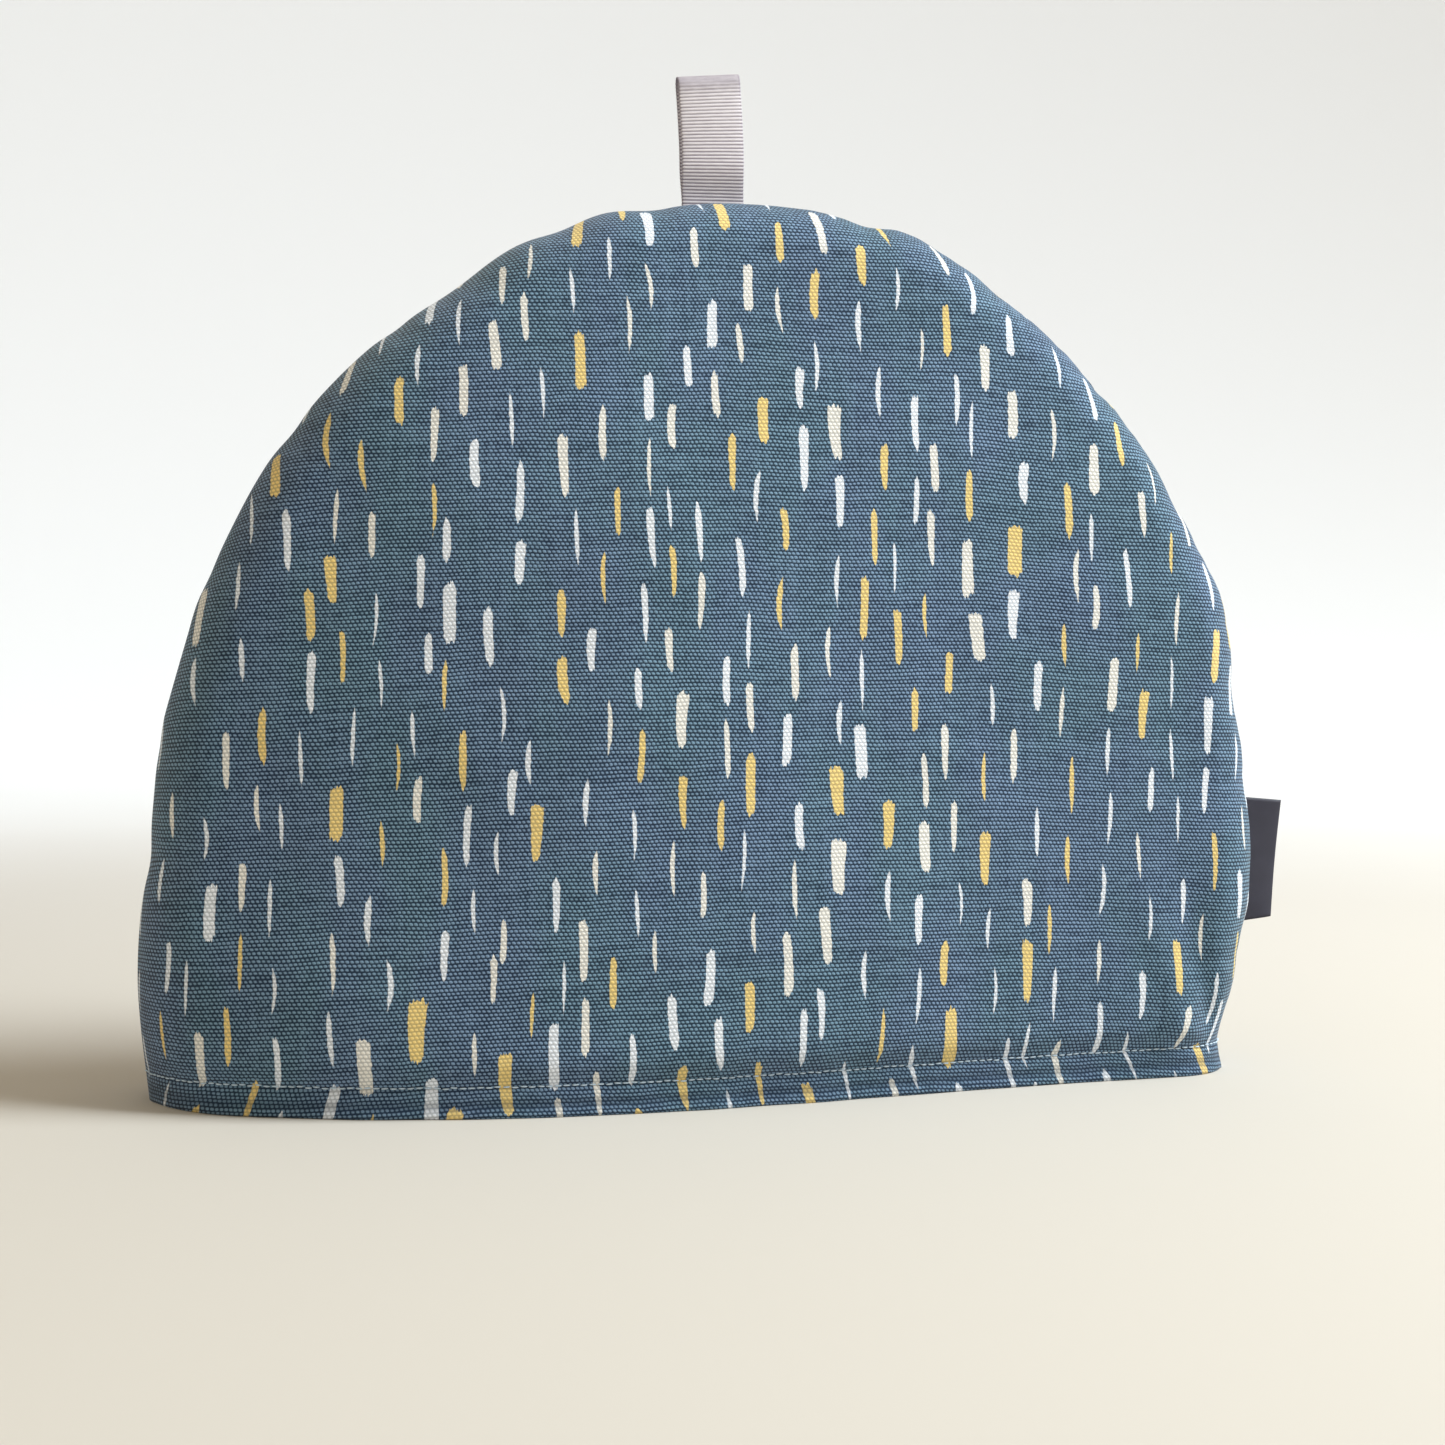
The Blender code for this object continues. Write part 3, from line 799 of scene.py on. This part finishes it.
    def wrap(self, form, panel, folds):
        """The panel's outer and inner face, as arrays of places."""
        side, gap = form["side"], self.parted()
        smooth = np.maximum(self.depth(form), gap)
        seed = 10 * form["phase"]
        inland = 1 - np.exp(-self.edge / 0.012)
        lumps = soft_noise(seed, self.x / 0.048, self.z / 0.042)
        lumps = lumps + 0.5 * soft_noise(seed + 4, self.x / 0.021, self.z / 0.024)
        ridge = soft_noise(seed + 1, self.along / 0.0085, self.edge / 0.060)
        ridge = ridge + 0.6 * soft_noise(seed + 2, self.along / 0.0038, self.edge / 0.030)
        near_seam = np.exp(-self.edge / panel.pucker_reach) * eased(self.edge, 0.0, 0.0006)
        near_seam = near_seam * eased(self.z, 0.010, 0.030)
        hem_wave = 0.0007 * soft_noise(seed + 3, self.x / 0.017, self.z / 0.020) * np.exp(-self.z / 0.012)
        thread_line = dent(self.z - HEM_LINE, *THREAD_LINE)
        turned_edge = dent(self.z - HEM_CREASE, *HEM_CREASE_DENT)
        turned_edge = turned_edge + HEM_FOOT_DEPTH * within(1 - self.z / HEM_LINE) ** 1.5
        below = 1 - within(self.z / HEM_ROUNDING_HEIGHT)
        rounded = HEM_ROUNDING * (1 - np.sqrt(1 - below**2))
        detail = panel.lump * lumps * inland * eased(self.z, 0.012, 0.040)
        detail = detail + panel.pucker * ridge * near_seam + self.fold_height(folds) * inland
        roll = eased(self.edge, 0.0, 0.003)
        detail = detail + (hem_wave - thread_line - turned_edge) * roll - rounded * roll
        depth = np.maximum(smooth + detail, gap)
        sunk = panel.valley * np.exp(-np.clip(depth - gap, 0.0, None) / 0.0015)
        offset = self.inward * sunk[..., None]
        rise = offset[..., 1] * eased(self.z, 0.004, 0.020)
        outer = np.stack([self.x + offset[..., 0], side * depth, self.z + rise], axis=-1)
        plain = np.stack([self.x, side * (smooth + 0.5 * detail * inland), self.z], axis=-1)
        normal = -side * np.cross(np.gradient(plain, axis=0), np.gradient(plain, axis=1))
        normal /= np.maximum(np.linalg.norm(normal, axis=-1, keepdims=True), 1e-12)
        turned = 1 - within(self.edge / self.roll_radius())
        outward = -self.inward * turned[..., None]
        rolled = np.stack([outward[..., 0], side * np.sqrt(1 - turned**2), outward[..., 1]], axis=-1)
        share = eased(self.edge, 0.0010, 0.0050)[..., None]
        normal = share * normal + (1 - share) * rolled
        normal /= np.linalg.norm(normal, axis=-1, keepdims=True)
        inner = plain - normal * self.wall()[..., None]
        stands = np.maximum(side * inner[..., 1], gap)
        for at_seam in ((0, slice(None)), (-1, slice(None)), (slice(None), -1)):
            stands[at_seam] = gap[at_seam]
        inner[..., 1] = side * stands
        inner[..., 2] = np.maximum(inner[..., 2], 0.0)
        inner[:, 0, 2] = 0.0
        for face in (outer, inner):
            face[..., 0] += self.shift
        return outer, inner


def double_grid(name, columns, rows):
    """A grid with a second layer, closed round its rim, and each vertex's column, row and layer."""
    start_clean()
    bpy.ops.mesh.primitive_grid_add(x_subdivisions=columns, y_subdivisions=rows, size=2.0)
    made = bpy.context.object
    made.name = made.data.name = name
    while made.data.uv_layers:
        made.data.uv_layers.remove(made.data.uv_layers[0])
    solid = made.modifiers.new("second layer", "SOLIDIFY")
    solid.thickness = 0.1
    solid.offset = -1.0
    bpy.ops.object.modifier_apply(modifier=solid.name)
    flat = np.empty(3 * len(made.data.vertices))
    made.data.vertices.foreach_get("co", flat)
    flat = flat.reshape(-1, 3)
    column = np.rint((flat[:, 0] + 1) / 2 * columns).astype(int)
    row = np.rint((flat[:, 1] + 1) / 2 * rows).astype(int)
    layer = (flat[:, 2] < -0.05).astype(int)
    if len(flat) != 2 * (columns + 1) * (rows + 1):
        raise RuntimeError(f"{name}: the grid has {len(flat)} vertices")
    return made, column, row, layer


def shape_grid(made, places, uv_name, uv_places, finishes):
    """Moves the vertices to their places, turns the faces outward, and adds cloth places and finishes."""
    mesh = made.data
    mesh.vertices.foreach_set("co", places.ravel())
    mesh.update()
    bm = bmesh.new()
    bm.from_mesh(mesh)
    if bm.calc_volume(signed=True) < 0:
        bmesh.ops.reverse_faces(bm, faces=bm.faces[:])
    bm.to_mesh(mesh)
    bm.free()
    corner = np.empty(len(mesh.loops), dtype=int)
    mesh.loops.foreach_get("vertex_index", corner)
    mesh.uv_layers.new(name=uv_name).data.foreach_set("uv", uv_places[corner].ravel())
    for finish in finishes:
        mesh.materials.append(finish)
    mesh.shade_smooth()


def copies_joined(name, shape, frames, finish):
    """One mesh of many copies of a shape, each at a place with its own three axes."""
    places = np.array([vert.co for vert in shape.data.vertices])
    faces = [tuple(face.vertices) for face in shape.data.polygons]
    spread = np.concatenate([origin + places @ np.array(axes) for origin, axes in frames])
    joined = [
        tuple(index + copy * len(places) for index in face) for copy in range(len(frames)) for face in faces
    ]
    mesh = bpy.data.meshes.new(name)
    mesh.from_pydata(spread.tolist(), [], joined)
    mesh.materials.append(finish)
    mesh.shade_smooth()
    made = bpy.data.objects.new(name, mesh)
    bpy.context.scene.collection.objects.link(made)
    bpy.data.objects.remove(shape)
    return made


class MESH_OT_cosy_panels(bpy.types.Operator):
    """Makes the two padded panels of printed cloth"""

    bl_idname = "mesh.cosy_panels"
    bl_label = "Padded panels"

    def execute(self, context):
        cloth, panel = context.scene.cosy_cloth, context.scene.cosy_panel
        finishes = (
            cloth_finish("printed_cloth", cloth, True),
            cloth_finish("cloth_reverse", cloth, False),
        )
        dome = Dome(panel.columns, panel.rows)
        for name, node, form, folds in (
            ("front_padded_panel", "front_panel", FRONT, FRONT_FOLDS),
            ("back_padded_panel", "back_panel", BACK, BACK_FOLDS),
        ):
            made, column, row, layer = double_grid(name, dome.columns, dome.rows)
            outer, inner = dome.wrap(form, panel, folds)
            places = np.where(layer[:, None] == 0, outer[column, row], inner[column, row])
            u, v = dome.cloth_place(form)
            if form["side"] > 0:
                u, v = BACK_CUT_FROM[0] - u, v + BACK_CUT_FROM[1]
            turned = 2 * v[:, :1] - v - HEM_WALL
            up = np.where(layer == 0, v[column, row], turned[column, row])
            shape_grid(made, places, CLOTH_UV, np.stack([u[column, row], up], axis=-1), finishes)
            for face in made.data.polygons:
                corners = list(face.vertices)
                if layer[corners].all() and places[corners, 2].min() > HEM_TURNED_TO:
                    face.material_index = 1
            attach(made, "root")
            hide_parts(node)
        return {"FINISHED"}


class MESH_OT_cosy_stitches(bpy.types.Operator):
    """Makes the stitches that run along the hem of each panel"""

    bl_idname = "mesh.cosy_stitches"
    bl_label = "Hem stitches"

    def stitch(self, stitch):
        """One stitch: a round thread along x that dips into the cloth at both ends."""
        start_clean()
        bpy.ops.mesh.primitive_uv_sphere_add(segments=6, ring_count=6, radius=1.0)
        made = bpy.context.object
        for vert in made.data.vertices:
            along = math.copysign(abs(vert.co.z) ** 0.75, vert.co.z)
            dip = -STITCH_DIP * abs(along) ** 3
            vert.co = (along * stitch.seen / 2, vert.co.x * stitch.radius, vert.co.y * stitch.radius + dip)
        return made

    def execute(self, context):
        stitch = context.scene.cosy_stitch
        finish = thread_finish("sewing_thread", stitch)
        row = HEM_ROWS_Z.index(HEM_LINE)
        chance = np.random.default_rng(5)
        columns = context.scene.cosy_panel.columns
        for name, panel in (
            ("front_hem_stitches", "front_padded_panel"),
            ("back_hem_stitches", "back_padded_panel"),
        ):
            mesh = bpy.data.objects[panel].data
            line = np.array([mesh.vertices[row * (columns + 1) + i].co for i in range(columns + 1)])
            side = -1.0 if line[columns // 2, 1] < 0 else 1.0
            total = lengths_along(line)[-1]
            middles = np.arange(STITCHES_START, total - STITCHES_START, stitch.pitch)
            frames = []
            for middle in middles + chance.normal(0.0, 0.00006, len(middles)):
                before, here, after = at_lengths(line, np.array([middle - 0.001, middle, middle + 0.001]))
                along = (after - before) / np.linalg.norm(after - before)
                tilt = chance.normal(0.0, 0.045)
                up = np.array([0.0, 0.0, 1.0])
                out = side * np.cross(up, along)
                along_tilted = along * math.cos(tilt) + up * math.sin(tilt)
                up_tilted = np.cross(out, along_tilted)
                place = here + out * STITCH_STANDS_OUT + up * chance.normal(0.0, 0.00010)
                frames.append((place, (along_tilted, up_tilted, out)))
            made = copies_joined(name, self.stitch(stitch), frames, finish)
            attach(made, "root")
        return {"FINISHED"}


class MESH_OT_cosy_ribbon(bpy.types.Operator):
    """Makes the ribbed ribbon, folded into a loop at the crown"""

    bl_idname = "mesh.cosy_ribbon"
    bl_label = "Ribbon loop"

    def route(self, ribbon):
        """The ribbon's middle line: up the front leaf, round the fold and down the rear leaf."""
        tail, wide = 0.00010 + ribbon.thick / 2, RIBBON_HALF_OPENING
        fold_z = RIBBON_TOP_Z - ribbon.thick / 2 - wide
        heights = np.concatenate([[RIBBON_TAIL_Z], np.linspace(RIBBON_OPENS_Z[0], RIBBON_STRAIGHT_Z, 30)])
        leaf = [(-tail - (wide - tail) * eased(z, *RIBBON_OPENS_Z), z) for z in heights]
        turn = np.linspace(math.pi, 0.0, 41)
        fold = [(wide * math.cos(angle), fold_z + wide * math.sin(angle)) for angle in turn]
        return np.array(leaf + fold + [(-y, z) for y, z in reversed(leaf)])

    def execute(self, context):
        ribbon = context.scene.cosy_ribbon
        line = self.route(ribbon)
        total = lengths_along(line)[-1]
        columns, rows = RIBBON_COLUMNS, int(total / ribbon.rib_pitch * ROWS_PER_RIB)
        along = np.linspace(0.0, total, rows + 1)
        line = at_lengths(line, along)
        across = np.sin(np.linspace(-0.5, 0.5, columns + 1) * np.pi)
        made, column, row, layer = double_grid("ribbon_band", columns, rows)
        share, s = across[column], along[row]
        rib = (0.5 - 0.5 * np.cos(2 * np.pi * s / ribbon.rib_pitch)) ** 0.7
        flat = 1 - eased(line[row, 1], RIBBON_TOP_Z - 0.0040, RIBBON_TOP_Z - 0.0015)
        thin = 1 - 0.45 * eased(abs(share), 0.93, 1.0)
        half = (ribbon.thick / 2 - ribbon.rib / 2 + ribbon.rib * rib * (0.25 + 0.75 * flat)) * thin
        opened = eased(line[row, 1], RIBBON_OPENS_Z[0] + 0.002, RIBBON_OPENS_Z[1] + 0.006)
        cupped = 0.00035 * (1 - share**2) * opened * flat * np.sign(line[row, 0])
        y, z = both_faces(line, row, layer, half).T
        scallop = 0.00011 * (rib - 0.5) * eased(abs(share), 0.8, 1.0) * np.sign(share)
        bowed = 0.00035 * np.sin((z - RIBBON_OPENS_Z[0]) / 0.040 * np.pi) * opened
        x = share * ribbon.width / 2 + scallop + bowed
        up = np.maximum(z - RIBBON_OPENS_Z[0], 0.0)
        x_leaned = x * math.cos(RIBBON_LEAN) - up * math.sin(RIBBON_LEAN)
        tilted = RIBBON_TILT * eased(z, RIBBON_OPENS_Z[0] - 0.002, RIBBON_TOP_Z)
        z_leaned = z + x * tilted
        x_leaned = x_leaned + RIBBON_X + source_outline()[1]
        places = np.stack([x_leaned, y + cupped, z_leaned], axis=-1)
        uv_places = np.stack([share * ribbon.width / 2, s], axis=-1)
        shape_grid(made, places, RIBBON_UV, uv_places, (ribbon_finish("grosgrain", ribbon),))
        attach(made, "root")
        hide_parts("ribbon_loop")
        return {"FINISHED"}


class MESH_OT_cosy_tab(bpy.types.Operator):
    """Makes the bare folded tab in the side seam"""

    bl_idname = "mesh.cosy_tab"
    bl_label = "Side tab"

    def execute(self, context):
        tab = context.scene.cosy_tab
        half = SEAM_HALF_GAP + tab.thick / 2
        fold = TAB_REACH - half - tab.thick / 2
        turn = np.linspace(math.pi, 0.0, 13)
        leaf = [(-half, z) for z in np.linspace(-TAB_TAIL, fold, 16)[:-1]]
        line = leaf + [(half * math.cos(angle), fold + half * math.sin(angle)) for angle in turn]
        line = np.array(line + [(-y, reach) for y, reach in reversed(leaf)])
        along = lengths_along(line)
        columns, rows = TAB_COLUMNS, len(line) - 1
        made, column, row, layer = double_grid("tab_band", columns, rows)
        share = column / columns * 2 - 1
        y, reach = both_faces(line, row, layer, tab.thick / 2).T
        out_reach = np.maximum(reach, 0.0)
        height = share * TAB_HEIGHT / 2 * (1 - TAB_TAPER * out_reach / TAB_REACH)
        slant = reach + TAB_SLANT * out_reach * share
        curl = TAB_CURL * (out_reach / TAB_REACH) ** 2 * (0.35 + 0.65 * np.cos(share * 1.9))
        parted = 0.00028 * np.sign(line[row, 0]) * eased(out_reach, 0.002, 0.008) * share**2
        parted = parted * (1 - eased(out_reach, TAB_REACH - 0.0018, TAB_REACH))
        plain, shift = source_outline()
        right = plain[plain[:, 1].argmax() :][::-1]
        seam_x = np.interp(TAB_MIDDLE_Z, right[:, 1], right[:, 0])
        places = np.stack([seam_x + shift + slant, y + curl + parted, TAB_MIDDLE_Z + height], axis=-1)
        uv_places = np.stack([share * TAB_HEIGHT / 2, along[row]], axis=-1)
        shape_grid(made, places, TAB_UV, uv_places, (tab_finish("woven_tab", tab),))
        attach(made, "root")
        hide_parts("side_label")
        return {"FINISHED"}


class SCENE_OT_cosy_stage(bpy.types.Operator):
    """Makes the pale floor, the soft lights and the camera"""

    bl_idname = "scene.cosy_stage"
    bl_label = "Stage"

    def light(self, name, place, aim, size, power, tint):
        """A soft square light that points at a place."""
        lamp = bpy.data.lights.new(name, "AREA")
        lamp.shape = "SQUARE"
        lamp.size = size
        lamp.energy = power
        lamp.color = tint
        made = bpy.data.objects.new(name, lamp)
        made.location = place
        made.rotation_euler = (Vector(aim) - Vector(place)).to_track_quat("-Z", "Y").to_euler()
        made.visible_camera = False
        bpy.context.scene.collection.objects.link(made)

    def floor(self, stage):
        """A round floor that curves up into a low wall."""
        start_clean()
        bpy.ops.mesh.primitive_circle_add(vertices=96, radius=FLOOR_RADIUS, fill_type="NGON")
        made = bpy.context.object
        made.name = made.data.name = "floor"
        bm = bmesh.new()
        bm.from_mesh(made.data)
        rim = [edge for edge in bm.edges if edge.is_boundary]
        for step in range(1, COVE_STEPS + 1):
            turn = COVE_TURN * step / COVE_STEPS
            radius = FLOOR_RADIUS + COVE_RADIUS * math.sin(turn)
            height = COVE_RADIUS * (1 - math.cos(turn))
            ring = bmesh.ops.extrude_edge_only(bm, edges=rim)["geom"]
            for vert in (item for item in ring if isinstance(item, bmesh.types.BMVert)):
                flat = Vector((vert.co.x, vert.co.y, 0.0)).normalized() * radius
                vert.co = (flat.x, flat.y, height)
            rim = [item for item in ring if isinstance(item, bmesh.types.BMEdge)]
        bm.to_mesh(made.data)
        bm.free()
        made.data.shade_smooth()
        finish, wire = new_finish("floor", 0.85)
        x, y = object_place(wire)[:2]
        away = (x * x + y * y) ** 0.5 + 0.10 * wire.cloudy(x / 0.30, y / 0.30)
        set_surface(wire, away.smooth(0.60, 1.60).blend(stage.floor, stage.wall))
        made.data.materials.append(finish)

    def execute(self, context):
        scene, stage = context.scene, context.scene.cosy_stage
        self.floor(stage)
        self.light("key_light", (1.15, -0.45, 1.35), (0.0, 0.0, 0.14), 0.8, stage.key, (0.90, 0.97, 1.0))
        self.light("back_light", (0.0, 0.8, 2.2), (0.2, 3.4, 1.3), 2.4, stage.back, (0.66, 0.80, 1.0))
        world = bpy.data.worlds.new("warm")
        world.use_nodes = True
        background = world.node_tree.nodes["Background"]
        background.inputs["Color"].default_value = (1.0, 0.84, 0.60, 1.0)
        background.inputs["Strength"].default_value = stage.around
        scene.world = world
        scene.view_settings.view_transform = "Standard"
        camera = bpy.data.cameras.new("camera")
        camera.lens = stage.lens
        camera.sensor_width = 36.0
        made = bpy.data.objects.new("camera", camera)
        camera.shift_y = CAMERA_SHIFT
        across, away = CAMERA_DISTANCE * math.sin(CAMERA_AROUND), CAMERA_DISTANCE * math.cos(CAMERA_AROUND)
        made.location = (CAMERA_AIM_X + across, -away, CAMERA_HEIGHT)
        made.rotation_euler = (math.pi / 2, 0.0, CAMERA_AROUND - CAMERA_TURNED)
        scene.collection.objects.link(made)
        scene.camera = made
        return {"FINISHED"}


class VIEW3D_PT_cosy(bpy.types.Panel):
    """Lists the cosy's steps and settings"""

    bl_label = "Tea cosy"
    bl_idname = "VIEW3D_PT_cosy"
    bl_space_type = "VIEW_3D"
    bl_region_type = "UI"
    bl_category = "Tea cosy"

    def draw(self, context):
        for operator, groups in STEPS:
            box = self.layout.box()
            box.operator(operator.bl_idname)
            for settings in (getattr(context.scene, group) for group in groups):
                for name in settings.__annotations__:
                    box.prop(settings, name)


GROUPS = {
    "cosy_cloth": ClothSettings,
    "cosy_panel": PanelSettings,
    "cosy_stitch": StitchSettings,
    "cosy_ribbon": RibbonSettings,
    "cosy_tab": TabSettings,
    "cosy_stage": StageSettings,
}
STEPS = (
    (MESH_OT_cosy_panels, ("cosy_cloth", "cosy_panel")),
    (MESH_OT_cosy_stitches, ("cosy_stitch",)),
    (MESH_OT_cosy_ribbon, ("cosy_ribbon",)),
    (MESH_OT_cosy_tab, ("cosy_tab",)),
    (SCENE_OT_cosy_stage, ("cosy_stage",)),
)
CLASSES = (*GROUPS.values(), *(operator for operator, groups in STEPS), VIEW3D_PT_cosy)


def register():
    for kind in CLASSES:
        bpy.utils.register_class(kind)
    for name, kind in GROUPS.items():
        setattr(bpy.types.Scene, name, PointerProperty(type=kind))


def unregister():
    for name in GROUPS:
        delattr(bpy.types.Scene, name)
    for kind in reversed(CLASSES):
        bpy.utils.unregister_class(kind)


def main():
    register()
    bpy.ops.mesh.cosy_panels()
    bpy.ops.mesh.cosy_stitches()
    bpy.ops.mesh.cosy_ribbon()
    bpy.ops.mesh.cosy_tab()
    bpy.ops.scene.cosy_stage()


if __name__ == "__main__":
    main()
